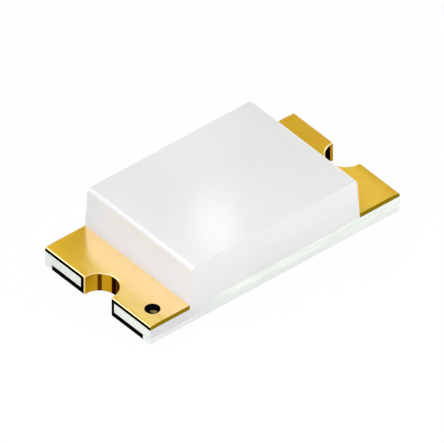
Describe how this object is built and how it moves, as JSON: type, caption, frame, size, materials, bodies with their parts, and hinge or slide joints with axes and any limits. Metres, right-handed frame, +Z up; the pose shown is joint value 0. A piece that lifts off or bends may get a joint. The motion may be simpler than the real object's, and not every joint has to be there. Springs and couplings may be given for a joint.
{
  "type": "smd led",
  "caption": "Thin rectangular chip light-emitting diode: a white laminate strip with wrap-around gold terminals under a diffused epoxy block, with a dot by the cathode.",
  "frame": {"origin": "centre of the package, half its height above the seating plane of the two solder pads", "axes": "+X along the length from the cathode to the anode, +Z up out of the light-emitting top, +Y across the width"},
  "size_m": [0.0016, 0.0008, 0.0004],
  "materials": {
    "laminate": "white glass-filled laminate, sawn at the sides and ends",
    "resist": "white solder resist, satin",
    "gold_plating": "gold-plated copper, satin",
    "bond_gold": "bright drawn gold",
    "ink": "black marking ink",
    "silver_adhesive": "silver-filled adhesive, matt",
    "die": "polished semiconductor with sawn sides",
    "epoxy": "milky diffused epoxy, moulded top and ends, sawn sides"
  },
  "bodies": {
    "root": {"laminate_core": "laminate", "underside_resist": "resist", "cathode_terminal": "gold_plating", "anode_terminal": "gold_plating", "polarity_mark": "ink", "die_attach": "silver_adhesive", "led_die": "die", "die_contact": "bond_gold", "bond_wire": "bond_gold", "epoxy_lens": "epoxy"}
  },
  "joints": []
}
